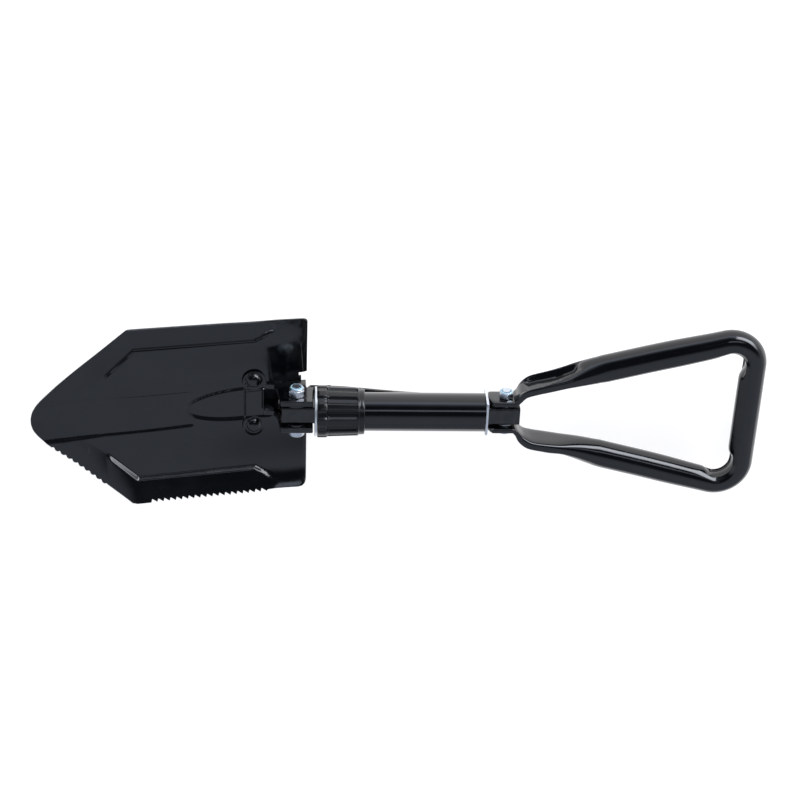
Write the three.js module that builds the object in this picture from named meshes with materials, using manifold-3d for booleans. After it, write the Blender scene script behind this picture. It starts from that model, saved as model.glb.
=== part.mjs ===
// Folding camp shovel: pointed blade, threaded lock collar, tube shaft, folding triangular grip and a stowed pick.
// Millimetres. +X runs from the blade to the grip, +Y is the nut side of both bolts, +Z is the hollow side of the
// blade. Pieces are placed from the middle of the blade bolt; the whole is then moved to the middle of its footprint.
import * as THREE from "three";
import { mergeVertices } from "three/addons/utils/BufferGeometryUtils.js";
import Module from "manifold-3d";

const wasm = await Module();
wasm.setup();

const GAP = 0.3; // between pieces that touch
const ORIGIN = [85.71, 0, -32.88]; // centre of the footprint, seen from the blade bolt

// hinge hardware
const GRIP_BOLT_X = 172.3; // spacing of the two bolts
const BOLT_R = 4;
const HOLE_R = 4.35;
const EAR_IN = 10; // inner face of each hinge ear, from the mid-plane
const EAR_OUT = 15;
const SHIM_IN = 8.3; // space between the bar and an ear
const SHIM_OUT = 9.7;

// shaft
const BAR = 16; // square inner bar, across flats
const BAR_WALL = 2.5;
const BAR_X = [-12, 184];
const TUBE_R = 16;
const TUBE_WALL = 1.5;
const TUBE_X = [22, 155];
const PLATE_X = [155.3, 157.3]; // square end plate, grip side
const PLATE_SIZE = [27, 32];
const SLEEVE_R = 17.3;
const SLEEVE_X = [21.5, 50];
const WASHER_R = 20.5;
const WASHER_X = [15.0, 16.8];
const COLLAR_X = [17.2, 25.2, 49.6, 55.8]; // flange, fluted body, rim
const COLLAR_FLANGE_R = 21.5;
const COLLAR_FLUTES = 10;
const COLLAR_BORE = 17.75;
const COLLAR_REAR_BORE = 16.5;

// blade
const SHEET = 2;
const TILT = 0.1853; // rise of the blade towards its tip
const HALF_WIDTH = 81;
const BLADE_TIP_X = -214;
const SHOULDER_X = -135.5; // where the straight sides meet the point
const BLADE_REAR_X = 8.6;
const STEP_Y = 61; // where the raised side strips start
const SLOT_HALF = 10.4; // slot for the pick at the middle of the rear edge
const SLOT_X = -27.3;
const RIVET = [-35, 20.6];
const LIP_X = 2.8;

// grip
const GRIP_TUBE_R = 10.75;
const GRIP_BAR_X = 374.8;
const GRIP_BEND_R = 19.7;
const GRIP_SLOPE = 0.26; // spread of each arm
const GRIP_FLAT_REACH = 14.4; // from the bolt to the end of the flattened tube

// ---------- helpers ----------
function solid(geometry) {
  const flat = geometry.index ? geometry.toNonIndexed() : geometry;
  const bare = new THREE.BufferGeometry().setAttribute("position", flat.getAttribute("position"));
  const g = mergeVertices(bare, 1e-4);
  return new wasm.Manifold(new wasm.Mesh({
    numProp: 3, vertProperties: g.attributes.position.array, triVerts: new Uint32Array(g.index.array),
  }));
}

function geometryOf(body) {
  const m = body.getMesh();
  const g = new THREE.BufferGeometry();
  g.setAttribute("position", new THREE.BufferAttribute(m.vertProperties, 3));
  g.setIndex(new THREE.BufferAttribute(m.triVerts, 1));
  const out = g.toNonIndexed();
  out.computeVertexNormals();
  return out;
}

const cut = (body, ...tools) => tools.reduce((a, b) => a.subtract(b), body);
const join = (body, ...more) => more.reduce((a, b) => a.add(b), body);

function box(x, y, z) {
  const g = new THREE.BoxGeometry(x[1] - x[0], y[1] - y[0], z[1] - z[0]);
  return solid(g.translate((x[0] + x[1]) / 2, (y[0] + y[1]) / 2, (z[0] + z[1]) / 2));
}

// Turned piece: [radius, height] profile, closed, about Z.
function turned(profile, segments = 40) {
  const points = profile.map(([r, h]) => new THREE.Vector2(r, h));
  if (profile[0][0] > 0) points.push(points[0].clone());
  return solid(new THREE.LatheGeometry(points, segments).rotateX(Math.PI / 2));
}
const alongX = (body) => body.rotate([0, 90, 0]); // Z becomes X
const alongY = (body) => body.rotate([-90, 0, 0]); // Z becomes Y

function ring(outer, inner, from, to, segments = 40) {
  return turned([[inner, from], [outer, from], [outer, to], [inner, to]], segments);
}
function rod(radius, from, to, segments = 32) {
  return turned([[0, from], [radius, from], [radius, to], [0, to]], segments);
}

// Flat outline in XY, extruded along Z.
function plate(points, z) {
  const shape = points.isShape ? points : new THREE.Shape(points.map(([x, y]) => new THREE.Vector2(x, y)));
  const g = new THREE.ExtrudeGeometry(shape, { depth: z[1] - z[0], bevelEnabled: false, curveSegments: 10 });
  return solid(g.translate(0, 0, z[0]));
}
// Outline in XZ, extruded along Y.
function upright(points, y) {
  return plate(points.map(([x, z]) => [x, -z]), [y[0], y[1]]).rotate([-90, 0, 0]);
}

function arc(cx, cy, r, from, to, steps) {
  return Array.from({ length: steps + 1 }, (_, i) => {
    const a = THREE.MathUtils.degToRad(from + ((to - from) * i) / steps);
    return [cx + r * Math.cos(a), cy + r * Math.sin(a)];
  });
}

function roundedSquare(w, h, r) {
  const x = w / 2 - r, y = h / 2 - r;
  return [...arc(x, y, r, 0, 90, 4), ...arc(-x, y, r, 90, 180, 4),
    ...arc(-x, -y, r, 180, 270, 4), ...arc(x, -y, r, 270, 360, 4)];
}

// Closed skin through rings of points; each ring has the same count.
function skin(rings, closed = false) {
  const n = rings[0].length, p = [], tri = (a, b, c) => p.push(...a, ...b, ...c);
  const last = closed ? rings.length : rings.length - 1;
  for (let i = 0; i < last; i++) {
    const a = rings[i], b = rings[(i + 1) % rings.length];
    for (let j = 0; j < n; j++) {
      const k = (j + 1) % n;
      tri(a[j], a[k], b[k]);
      tri(a[j], b[k], b[j]);
    }
  }
  if (!closed) {
    const cap = (r, flip) => {
      const c = [0, 1, 2].map((q) => r.reduce((s, v) => s + v[q], 0) / n);
      for (let j = 0; j < n; j++) {
        const k = (j + 1) % n;
        if (flip) tri(c, r[k], r[j]); else tri(c, r[j], r[k]);
      }
    };
    cap(rings[0], true);
    cap(rings[rings.length - 1], false);
  }
  const g = new THREE.BufferGeometry();
  g.setAttribute("position", new THREE.Float32BufferAttribute(p, 3));
  const body = solid(g);
  if (body.volume() > 0) return body;
  for (let i = 0; i < p.length; i += 9) {
    for (let q = 0; q < 3; q++) [p[i + 3 + q], p[i + 6 + q]] = [p[i + 6 + q], p[i + 3 + q]];
  }
  g.setAttribute("position", new THREE.Float32BufferAttribute(p, 3));
  return solid(g);
}

const clamp01 = (v) => Math.min(1, Math.max(0, v));
const ease = (v) => { const t = clamp01(v); return t * t * (3 - 2 * t); };

// ---------- blade ----------
// Height of the blade's hollow face.
function bladeHeight(x, y) {
  const a = Math.abs(y);
  const floor = -20.6 - 4.6 * ease((x + 130) / 105) - 0.8 * ease((x + 25) / 30);
  const step = -17.2;
  const strip = 5.2 + 2.6 * clamp01((x + 135) / 143);
  let z = floor + (step - floor) * ease((a - 30) / (STEP_Y - 31));
  z += strip * ease((a - STEP_Y + 1.5) / 21);
  const rib = ease((15 - a) / 4) * ease((-84 - x) / 9) * ease((x + 208) / 20);
  const tongue = ease((15 - a) / 3.5) * ease((x + 93) / 10 - a / 12) * ease((-45 - x) / 4);
  z -= 1.3 * rib + 1.6 * tongue;
  if (a > 21) z -= 5 * clamp01((x - LIP_X) / (BLADE_REAR_X - LIP_X)) ** 2;
  return z - TILT * x;
}

function sheet(xs, ys, height, thick) {
  const p = [], nx = xs.length, ny = ys.length;
  const v = (i, j, low) => [xs[i], ys[j], height(xs[i], ys[j]) - (low ? thick : 0)];
  const quad = (a, b, c, d) => p.push(...a, ...b, ...c, ...a, ...c, ...d);
  for (let i = 0; i + 1 < nx; i++) {
    for (let j = 0; j + 1 < ny; j++) {
      quad(v(i, j), v(i + 1, j), v(i + 1, j + 1), v(i, j + 1));
      quad(v(i, j, 1), v(i, j + 1, 1), v(i + 1, j + 1, 1), v(i + 1, j, 1));
    }
    quad(v(i, 0, 1), v(i + 1, 0, 1), v(i + 1, 0), v(i, 0));
    quad(v(i, ny - 1), v(i + 1, ny - 1), v(i + 1, ny - 1, 1), v(i, ny - 1, 1));
  }
  for (let j = 0; j + 1 < ny; j++) {
    quad(v(0, j, 1), v(0, j), v(0, j + 1), v(0, j + 1, 1));
    quad(v(nx - 1, j), v(nx - 1, j, 1), v(nx - 1, j + 1, 1), v(nx - 1, j + 1));
  }
  const g = new THREE.BufferGeometry();
  g.setAttribute("position", new THREE.Float32BufferAttribute(p, 3));
  return solid(g);
}

// Outline of the blade, from the rear corner on the plain side round the tip to the toothed side.
function bladeOutline() {
  const plain = [[BLADE_REAR_X, HALF_WIDTH - 5], [BLADE_REAR_X - 2, HALF_WIDTH - 1.6], [2, HALF_WIDTH - 0.6],
    [-25, HALF_WIDTH - 0.8], [-128, HALF_WIDTH], [SHOULDER_X + 1, HALF_WIDTH - 1.6]];
  const nose = [[-192.5, 31], [-200, 23.6], [-207, 16.8], [-211.8, 9.6], [-213.8, 3.6]];
  const out = [...plain, ...nose, [BLADE_TIP_X, 0], ...nose.map(([x, y]) => [x, -y]).reverse()];
  const slope = (HALF_WIDTH - 31) / (SHOULDER_X + 192.5);
  const lobes = 9, run = 46 / lobes;
  for (let i = 0; i < lobes; i++) {
    for (const [u, bulge] of [[0, 0], [0.12, 0.9], [0.3, 1.7], [0.55, 2], [0.8, 1.4]]) {
      const x = -190.4 + (i + u) * run;
      out.push([x - 0.66 * bulge, -31.3 - slope * (x + 192.5) + 1.9 - 0.75 * bulge]);
    }
  }
  out.push([SHOULDER_X - 0.5, -HALF_WIDTH + 0.8], [-131, -HALF_WIDTH]);
  const teeth = 19, pitch = 98 / teeth;
  for (let i = 0; i < teeth; i++) {
    const x = -119 + i * pitch;
    out.push([x, -HALF_WIDTH + 2.9], [x + 0.82 * pitch, -HALF_WIDTH + 0.2]);
  }
  out.push([-21, -HALF_WIDTH + 1.8], [2, -HALF_WIDTH + 0.6], [BLADE_REAR_X - 2, -HALF_WIDTH + 1.6],
    [BLADE_REAR_X, -HALF_WIDTH + 5]);
  return [...out, ...rearEdge()];
}

// Rear edge: a turned lip on each side, a small relief, and the slotted middle.
function rearEdge() {
  const half = [[BLADE_REAR_X, 22], [LIP_X - 1, 21.6], [LIP_X - 1, 18.6], [LIP_X + 1, 18],
    [LIP_X + 1, SLOT_HALF], [SLOT_X + 0.5, SLOT_HALF], [SLOT_X, SLOT_HALF - 0.5]];
  return [...half.map(([x, y]) => [x, -y]), ...half.reverse()];
}

function blade() {
  const half = [0, 8, 12, 15, 20, 27, 35, 43, 51, 57, 60.5, 64, 70, 76, 84];
  const ys = [...half.slice(1).map((v) => -v).reverse(), ...half];
  const xs = [-218, -207, -198, -188, -172, -155, -138, -124, -110, -98, -91, -84, -76, -66, -54, -49, -45,
    -33, -25, -17, -8, LIP_X, 5, 6.8, 12];
  const skinPlate = sheet(xs, ys, bladeHeight, SHEET);
  const holes = [1, -1].map((s) => rod(3.6, -60, 40, 16).translate([RIVET[0], s * RIVET[1], 0]));
  return cut(skinPlate.intersect(plate(bladeOutline(), [-60, 60])), ...holes);
}

// ---------- bracket that carries the blade ----------
function ear() {
  const top = 10.8, reach = 14.4;
  const lift = Math.asin(top / reach) * (180 / Math.PI);
  return [[reach, -12], ...arc(0, 0, reach, 0, lift, 5), ...arc(0, 0, reach, 180 - lift, 168, 3),
    [-18.4, -17.4], [-24, -18.5], [-26, -19], [-26, -23.5], [7.8, -29.5], [7.8, -14.6], [9, -12.8]];
}

function bracket() {
  const lobe = (s) => rod(9.4, -40, 10, 28).translate([RIVET[0], s * RIVET[1], 0]);
  const outline = join(plate([[-44.6, -15], [-20, -15], [-20, 15], [-44.6, 15]], [-40, 10]),
    plate([[RIVET[0] - 9.4, -RIVET[1]], [RIVET[0] + 9.4, -RIVET[1]], [RIVET[0] + 9.4, RIVET[1]],
      [RIVET[0] - 9.4, RIVET[1]]], [-40, 10]), lobe(1), lobe(-1));
  const xs = [-45, -33, -25, -17, -8];
  const ys = [-34, -27, -20, -15, -12, -8, 0, 8, 12, 15, 20, 27, 34];
  const over = (x, y) => bladeHeight(x, y) + GAP + 2.6;
  const slot = box([SLOT_X, 0], [-SLOT_HALF, SLOT_HALF], [-60, 40]);
  const base = cut(sheet(xs, ys, over, 2.6).intersect(outline), slot);
  const roof = sheet([-60, -42, -33, -25, -17, -8, LIP_X, 20], ys, (x, y) => bladeHeight(x, y) + GAP, 60);
  const ears = [1, -1].map((s) => upright(ear(), s > 0 ? [EAR_IN, EAR_OUT] : [-EAR_OUT, -EAR_IN]));
  const pins = [1, -1].map((s) => rod(3.6, -60, 40, 16).translate([RIVET[0], s * RIVET[1], 0]));
  return cut(join(base, ...ears.map((e) => cut(e, roof))), alongY(rod(HOLE_R, -20, 20)), ...pins);
}

function rivet(side) {
  const [x, y] = [RIVET[0], side * RIVET[1]];
  const fall = (bladeHeight(x - 4, y) - bladeHeight(x + 4, y)) / 8;
  const seat = 2.6 + 3 * GAP;
  const under = -SHEET - GAP;
  const dome = [[0, under - 1.6], [5.2, under - 1.6], [5.6, under], [2.8, under], [2.8, seat], [6.4, seat],
    [6.2, seat + 1.1], [4.9, seat + 2.1], [2.6, seat + 2.7], [0, seat + 2.9]];
  const tilt = THREE.MathUtils.radToDeg(Math.atan(fall));
  return turned(dome, 24).rotate([0, tilt, 0]).translate([x, y, bladeHeight(x, y)]);
}

// ---------- bolts ----------
function bolt(height) {
  const head = -EAR_OUT - GAP, rim = Math.min(2.6, 0.6 * height);
  return alongY(turned([[0, head - height], [3.4, head - height + 0.15 * rim], [6, head - height + 0.55 * rim],
    [6.9, head - height + rim], [6.9, head], [BOLT_R, head], [BOLT_R, 23.4], [3.4, 24], [0, 24]], 32));
}
function nut() {
  const body = turned([[0, 0], [6.2, 0], [7.5, 1], [7.5, 5.4], [6.3, 6.6], [0, 6.6]], 6);
  return alongY(cut(body, rod(HOLE_R, -1, 8, 24))).translate([0, EAR_OUT + GAP, 0]);
}
function insert() {
  const from = EAR_OUT + GAP + 6.6 + GAP;
  return alongY(ring(5.6, HOLE_R, from, from + 1.4, 24));
}
function shim(side) {
  const y = side > 0 ? [SHIM_IN, SHIM_OUT] : [-SHIM_OUT, -SHIM_IN];
  return alongY(ring(7.4, HOLE_R, y[0], y[1], 28));
}

// ---------- shaft ----------
function innerBar() {
  const outer = alongX(plate(roundedSquare(BAR, BAR, 2.4), BAR_X));
  const inner = alongX(plate(roundedSquare(BAR - 2 * BAR_WALL, BAR - 2 * BAR_WALL, 1), [BAR_X[0] - 1, BAR_X[1] + 1]));
  const hole = alongY(rod(HOLE_R, -12, 12));
  return cut(outer, inner, hole, hole.translate([GRIP_BOLT_X, 0, 0]));
}
const shaftTube = () => alongX(ring(TUBE_R, TUBE_R - TUBE_WALL, TUBE_X[0], TUBE_X[1], 48));

const barHole = (x) => alongX(plate(roundedSquare(BAR + 2 * GAP, BAR + 2 * GAP, 2.4), [x[0] - 1, x[1] + 1]));

function threadedSleeve() {
  const profile = [[TUBE_R + GAP, SLEEVE_X[0]]];
  const turns = 7, pitch = (SLEEVE_X[1] - SLEEVE_X[0] - 2) / turns;
  profile.push([SLEEVE_R - 0.8, SLEEVE_X[0]]);
  for (let i = 0; i < turns; i++) {
    const x = SLEEVE_X[0] + 1 + i * pitch;
    profile.push([SLEEVE_R - 0.7, x], [SLEEVE_R, x + 0.5 * pitch]);
  }
  profile.push([SLEEVE_R - 0.7, SLEEVE_X[1] - 1], [SLEEVE_R - 0.7, SLEEVE_X[1]], [TUBE_R + GAP, SLEEVE_X[1]]);
  return alongX(turned(profile, 28));
}
function guideBush() {
  const body = alongX(rod(TUBE_R - TUBE_WALL - GAP, TUBE_X[0], TUBE_X[0] + 16, 40));
  return cut(body, barHole([TUBE_X[0], TUBE_X[0] + 16]));
}
function endPlate() {
  const body = alongX(plate(roundedSquare(PLATE_SIZE[1], PLATE_SIZE[0], 4), PLATE_X));
  return cut(body, barHole(PLATE_X));
}
function lockWasher() {
  return cut(alongX(turned([[0, WASHER_X[0]], [WASHER_R - 0.4, WASHER_X[0]], [WASHER_R, WASHER_X[0] + 0.5],
    [WASHER_R, WASHER_X[1]], [0, WASHER_X[1]]], 48)), barHole(WASHER_X));
}

// Collar: flange, tapered body with rounded flutes, plain rim.
function collar() {
  const [x0, x1, x2, x3] = COLLAR_X;
  const stations = [[x0, COLLAR_FLANGE_R - 0.8, 0], [x0 + 0.8, COLLAR_FLANGE_R, 0], [x1 - 0.8, COLLAR_FLANGE_R, 0],
    [x1, COLLAR_FLANGE_R - 0.8, 0], [x1 + 0.4, 20.6, 0], [x1 + 3, 20.6, 1], [x2 - 3, 19.9, 1], [x2, 19.8, 0],
    [x2 + 0.4, 18.9, 0], [x3 - 0.8, 18.8, 0], [x3, 18.2, 0]];
  const n = COLLAR_FLUTES * 6;
  const wave = [0, 0, 0, 0.75, 1.1, 0.75];
  const outer = stations.map(([x, r, deep]) => Array.from({ length: n }, (_, i) => {
    const a = (2 * Math.PI * i) / n, q = r - deep * wave[i % 6];
    return [x, q * Math.cos(a), q * Math.sin(a)];
  }));
  const bore = alongX(turned([[0, x0 - 1], [COLLAR_BORE, x0 - 1], [COLLAR_BORE, SLEEVE_X[1] + 0.8],
    [COLLAR_REAR_BORE, SLEEVE_X[1] + 1.8], [COLLAR_REAR_BORE, x3 + 1], [0, x3 + 1]], 48));
  return cut(skin(outer), bore);
}

// ---------- grip ----------
// Stations along one arm: x from the grip bolt, y of the tube's centre, half width in the plane, half depth.
function armStations() {
  const start = [[8.2, 12.5, 2.5, 10.4], [10.4, 16, 2.5, 10.4], [13.4, 19.4, 2.5, 10.6], [20.7, 25, 2.6, 12.9],
    [32, 28, 3.6, 13], [48, 32.1, 6.4, 12.4], [64, 36.3, 9.4, 11.4], [80, 40.4, GRIP_TUBE_R, GRIP_TUBE_R]];
  return start.map(([x, y, w, h]) => ({ x: GRIP_BOLT_X + x, y, w, h }));
}

function gripStations() {
  const up = armStations(), angle = Math.atan(GRIP_SLOPE);
  const cx = GRIP_BAR_X - GRIP_BEND_R;
  const armY = (x) => 25 + GRIP_SLOPE * (x - GRIP_BOLT_X - 20.7);
  const cy = armY(cx) - GRIP_BEND_R / Math.cos(angle);
  const round = (x, y) => ({ x, y, w: GRIP_TUBE_R, h: GRIP_TUBE_R });
  const deg = (v) => (v * 180) / Math.PI;
  up.push(round(300, armY(300)));
  const bend = arc(cx, cy, GRIP_BEND_R, 90 + deg(angle), 0, 7).map(([x, y]) => round(x, y));
  const half = [...up, ...bend];
  return [...half, ...half.map((s) => ({ ...s, y: -s.y })).reverse()];
}

function sweep(stations, count = 20) {
  const rings = stations.map((s, i) => {
    const a = stations[Math.max(0, i - 1)], b = stations[Math.min(stations.length - 1, i + 1)];
    const len = Math.hypot(b.x - a.x, b.y - a.y);
    let [nx, ny] = [-(b.y - a.y) / len, (b.x - a.x) / len];
    if (i === 0) [nx, ny] = [0, 1];
    if (i === stations.length - 1) [nx, ny] = [0, -1];
    const power = s.w / s.h > 0.95 ? 1 : 0.35 + 0.65 * (s.w / s.h);
    return Array.from({ length: count }, (_, j) => {
      const t = (2 * Math.PI * (j + 0.5)) / count;
      const u = Math.sign(Math.cos(t)) * Math.abs(Math.cos(t)) ** power * s.w;
      const v = Math.sign(Math.sin(t)) * Math.abs(Math.sin(t)) ** power * s.h;
      return [s.x + nx * u, s.y + ny * u, v];
    });
  });
  return skin(rings);
}

function gripFlat(side) {
  const r = GRIP_FLAT_REACH, h = 10.4, lift = Math.asin(h / r) * (180 / Math.PI);
  const outline = [...arc(0, 0, r, 180 - lift, 180, 5), ...arc(-r + 2.5, -h + 2.5, 2.5, 180, 270, 3),
    [8.9, -h], [8.9, h]];
  const y = side > 0 ? [EAR_IN, EAR_OUT] : [-EAR_OUT, -EAR_IN];
  return upright(outline.map(([x, z]) => [x + GRIP_BOLT_X, z]), y);
}

// The bore of the bent tube, pressed down to a slit where the ends are flattened.
function gripBore() {
  const inner = gripStations().map((s) => ({ ...s, w: Math.max(0.3, s.w - (s.w > 9 ? 1.6 : 2.2)), h: s.h - 2.2 }));
  const end = { ...inner[0], x: GRIP_BOLT_X - 20 };
  return sweep([end, ...inner, { ...end, y: -end.y }], 12);
}

function gripFrame() {
  const hole = alongY(rod(HOLE_R, -20, 20)).translate([GRIP_BOLT_X, 0, 0]);
  return cut(join(sweep(gripStations()), gripFlat(1), gripFlat(-1)), gripBore(), hole);
}

// ---------- pick ----------
function pick() {
  const low = -26.6, high = -22.7;
  const side = [...arc(0, 0, 9.8, -20, 200, 14), [-3, -14], [2, -17.6], [5.5, -20.4], [9, -23],
    [11.5, low], [34, low], [34, high], [14.2, high],
    [13.4, -12]];
  const cheeks = [1, -1].map((s) => upright(side, s > 0 ? [SHIM_IN, SHIM_OUT] : [-SHIM_OUT, -SHIM_IN]));
  const edge = [[24, SHIM_OUT], [40, 9.1], [56, 7.6], [68, 6.4], [92, 4.4], [120, 2.7], [146, 1.5], [156, 0]];
  const spike = plate([...edge, ...edge.slice(0, -1).map(([x, y]) => [x, -y]).reverse()], [low, high]);
  const bridge = box([11.5, 24.5], [-SHIM_OUT, SHIM_OUT], [low, low + 2.4]);
  const heel = upright([...arc(0, 0, 31.3, 213, 246, 8), ...arc(0, 0, 29.3, 246, 213, 8)], [-SHIM_OUT, SHIM_OUT]);
  const leg = [[-6, -6], [-9.4, -9], [-15.2, -19], [-17.4, -25], [-12.2, -27.4], [-9.4, -21.6], [-6, -14]];
  const legs = [1, -1].map((s) => upright(leg, s > 0 ? [SHIM_IN, SHIM_OUT] : [-SHIM_OUT, -SHIM_IN]));
  return cut(join(spike, bridge, heel, ...cheeks, ...legs), alongY(rod(HOLE_R, -12, 12)));
}

// ---------- assembly ----------
const paint = { color: "#1b1d22", roughness: 0.28, metalness: 0.55 };
const zinc = { color: "#c9cdd2", roughness: 0.3, metalness: 1 };
const plastic = { color: "#16171a", roughness: 0.45, metalness: 0 };
const nylon = { color: "#bcd8ea", roughness: 0.5, metalness: 0 };
const steel = { color: "#2b2d31", roughness: 0.4, metalness: 0.8 };

const group = new THREE.Group();
function add(name, body, look, at = [0, 0, 0]) {
  const mesh = new THREE.Mesh(geometryOf(body), new THREE.MeshStandardMaterial(look));
  mesh.name = name;
  mesh.position.set(at[0] - ORIGIN[0], at[1] - ORIGIN[1], at[2] - ORIGIN[2]);
  group.add(mesh);
}
const atGrip = [GRIP_BOLT_X, 0, 0];

add("blade", blade(), paint);
add("blade_bracket", bracket(), paint);
add("rivet_left", rivet(1), paint);
add("rivet_right", rivet(-1), paint);
add("blade_bolt", bolt(7.8), zinc);
add("blade_nut", nut(), zinc);
add("blade_nut_insert", insert(), nylon);
add("pick", pick(), paint);
add("inner_bar", innerBar(), paint);
add("shaft_tube", shaftTube(), paint);
add("guide_bush", guideBush(), steel);
add("threaded_sleeve", threadedSleeve(), steel);
add("lock_washer", lockWasher(), zinc);
add("lock_collar", collar(), plastic);
add("end_plate", endPlate(), zinc);
add("grip_frame", gripFrame(), paint);
add("grip_bolt", bolt(3), zinc, atGrip);
add("grip_nut", nut(), zinc, atGrip);
add("grip_nut_insert", insert(), nylon, atGrip);
add("grip_shim_left", shim(1), zinc, atGrip);
add("grip_shim_right", shim(-1), zinc, atGrip);

export default group;
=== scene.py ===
# Folding camp shovel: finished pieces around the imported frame. Shapes are written in millimetres
# from the middle of the blade bolt (+X to the grip, +Y the nut side, +Z the blade's hollow side)
# and moved by ORIGIN into the frame.
import math

import bmesh
import bpy
import numpy as np
from mathutils import Matrix, Vector, geometry


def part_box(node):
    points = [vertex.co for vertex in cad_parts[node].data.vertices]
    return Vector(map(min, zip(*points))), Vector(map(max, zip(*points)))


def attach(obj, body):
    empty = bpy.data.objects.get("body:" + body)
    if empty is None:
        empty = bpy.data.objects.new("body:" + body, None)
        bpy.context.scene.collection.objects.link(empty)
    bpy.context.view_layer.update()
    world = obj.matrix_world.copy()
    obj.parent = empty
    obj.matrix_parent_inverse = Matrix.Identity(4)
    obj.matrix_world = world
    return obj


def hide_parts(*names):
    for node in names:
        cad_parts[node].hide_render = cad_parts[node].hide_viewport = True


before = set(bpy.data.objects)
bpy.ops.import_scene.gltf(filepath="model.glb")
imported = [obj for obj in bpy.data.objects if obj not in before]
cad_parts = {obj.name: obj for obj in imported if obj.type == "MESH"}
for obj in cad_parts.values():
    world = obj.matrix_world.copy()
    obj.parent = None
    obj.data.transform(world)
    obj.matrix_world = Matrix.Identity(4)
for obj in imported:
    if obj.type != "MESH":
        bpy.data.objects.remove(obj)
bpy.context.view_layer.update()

MM = 0.001
_low, _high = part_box("blade_bolt")
ORIGIN = Vector(((_low.x + _high.x) / 2, 0, (_low.z + _high.z) / 2))
_low, _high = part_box("grip_bolt")
GRIP_X = ((_low.x + _high.x) / 2 - ORIGIN.x) / MM  # the grip bolt, from the blade bolt


# ---------------------------------------------------------------- materials
def new_material(name):
    """A material with only a shader in it; returns it with its node tree and the shader."""
    mat = bpy.data.materials.new(name)
    mat.use_nodes = True
    tree = mat.node_tree
    tree.nodes.clear()
    out = tree.nodes.new("ShaderNodeOutputMaterial")
    bsdf = tree.nodes.new("ShaderNodeBsdfPrincipled")
    tree.links.new(bsdf.outputs[0], out.inputs[0])
    return mat, tree, bsdf


def add(tree, kind, **values):
    """Adds a node; each value is one of its settings or the default of one of its inputs."""
    node = tree.nodes.new("ShaderNode" + kind)
    for key, value in values.items():
        if hasattr(node, key):
            setattr(node, key, value)
        else:
            node.inputs[key].default_value = value
    return node


def ramp(tree, source, stops, smooth=False):
    """Colour ramp over (position, grey or colour) stops."""
    node = tree.nodes.new("ShaderNodeValToRGB")
    node.color_ramp.interpolation = "EASE" if smooth else "LINEAR"
    while len(node.color_ramp.elements) < len(stops):
        node.color_ramp.elements.new(0.5)
    for element, (at, value) in zip(node.color_ramp.elements, stops):
        element.position = at
        element.color = (*value, 1) if isinstance(value, tuple) else (value, value, value, 1)
    tree.links.new(source, node.inputs[0])
    return node.outputs[0]


def feed(tree, bsdf, socket, source, stops):
    """Drives a shader input through a ramp."""
    tree.links.new(ramp(tree, source, stops), bsdf.inputs[socket])


def noise(tree, scale, detail=3.0, rough=0.5, stretch=None):
    """Noise in object coordinates."""
    node = add(tree, "TexNoise", Scale=scale, Detail=detail, Roughness=rough)
    place = add(tree, "TexCoord").outputs["Object"]
    if stretch:
        mapping = add(tree, "Mapping")
        mapping.inputs["Scale"].default_value = stretch
        tree.links.new(place, mapping.inputs[0])
        place = mapping.outputs[0]
    tree.links.new(place, node.inputs["Vector"])
    return node.outputs[0]


def bump(tree, bsdf, height, strength, distance, below=None):
    """Bump over the whole surface, on top of an earlier one if there is one below."""
    node = add(tree, "Bump", Strength=strength, Distance=distance)
    tree.links.new(height, node.inputs["Height"])
    if below:
        tree.links.new(below, node.inputs["Normal"])
    tree.links.new(node.outputs[0], bsdf.inputs["Normal"])
    return node.outputs[0]


def mix(tree, fac, a, b):
    """Colour mix of numbers, colours or sockets."""
    node = tree.nodes.new("ShaderNodeMix")
    node.data_type = "RGBA"
    for socket, value in ((node.inputs[0], fac), (node.inputs[6], a), (node.inputs[7], b)):
        if isinstance(value, (int, float)):
            socket.default_value = value
        elif isinstance(value, tuple):
            socket.default_value = (*value, 1)
        else:
            tree.links.new(value, socket)
    return node.outputs[2]


def edge_wear(tree, low, high):
    """Mask of outward edges, broken up by noise."""
    geo = add(tree, "NewGeometry")
    point = ramp(tree, geo.outputs["Pointiness"], [(low, 0.0), (high, 1.0)])
    patch = ramp(tree, noise(tree, 160, 4), [(0.46, 0.0), (0.62, 1.0)])
    node = add(tree, "Math", operation="MULTIPLY")
    tree.links.new(point, node.inputs[0])
    tree.links.new(patch, node.inputs[1])
    return node.outputs[0]


ENAMEL = (0.0007, 0.0009, 0.0014)
BARE_EDGE = (0.03, 0.03, 0.033)


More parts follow.
